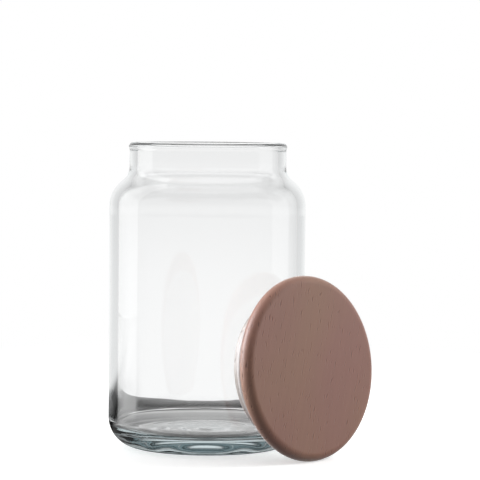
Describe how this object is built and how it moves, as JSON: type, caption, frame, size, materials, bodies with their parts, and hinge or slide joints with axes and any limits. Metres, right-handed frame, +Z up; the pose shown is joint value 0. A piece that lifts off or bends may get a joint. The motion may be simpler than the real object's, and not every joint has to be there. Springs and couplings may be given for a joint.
{
  "type": "sourdough starter jar",
  "caption": "Thick clear glass starter jar with a rounded shoulder and a wide beaded mouth; its round wooden plug lid with a seal ring is off and leans on the jar.",
  "frame": {"origin": "middle of the jar's foot ring, in the plane of the table that jar and lid stand on", "axes": "+Z up along the jar's axis, out of its mouth; the lid stands in front and to the right, between +X and -Y"},
  "size_m": [0.1467, 0.1467, 0.171],
  "materials": {
    "clear_glass": "clear, smooth, fire-polished",
    "lid_wood": "smooth matt, fine short grain",
    "seal_silicone": "soft matt silicone, milky"
  },
  "bodies": {
    "jar": {"jar_body": "clear_glass"},
    "lid": {"lid_disc": "lid_wood", "lid_plug": "lid_wood", "seal_ring": "seal_silicone"}
  },
  "joints": [
    {"name": "lid_lift", "type": "slide", "parent": "jar", "child": "lid", "axis": [0, 0, 1], "range_m": [0, 0.18]}
  ]
}
